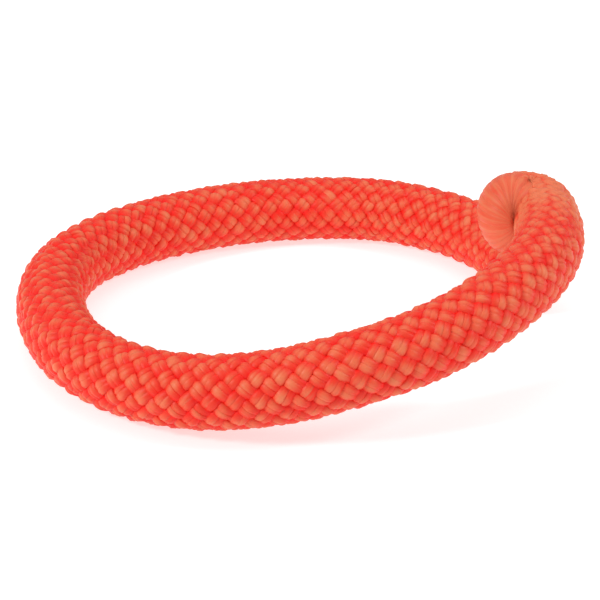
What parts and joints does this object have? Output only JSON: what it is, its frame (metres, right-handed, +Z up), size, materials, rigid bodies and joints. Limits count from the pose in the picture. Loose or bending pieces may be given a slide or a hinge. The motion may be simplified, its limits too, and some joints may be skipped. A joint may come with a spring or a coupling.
{
  "type": "dog training bumper ring",
  "caption": "Thick braided rope curled into a ring and held shut where its ends overlap, for a dog to fetch from land or water.",
  "frame": {"origin": "on the floor, under the middle of the ring's bounding box", "axes": "+X along the ring's longest side, towards the overlapping ends; +Y towards the flat stretch opposite the rising one; +Z up"},
  "size_m": [0.2603, 0.2522, 0.0663],
  "materials": {
    "braid": "braided orange polypropylene yarn, satin",
    "foam": "closed-cell foam dyed orange, matt",
    "fused_yarn": "melted orange yarn, slightly glossy",
    "thread": "waxed orange thread"
  },
  "bodies": {
    "root": {"braided_cover": "braid", "foam_core": "foam", "near_end_slug": "fused_yarn", "near_end_tie": "thread", "far_end_slug": "fused_yarn", "far_end_tie": "thread", "joint_stitch_1": "thread", "joint_stitch_2": "thread", "joint_stitch_3": "thread"}
  },
  "joints": []
}
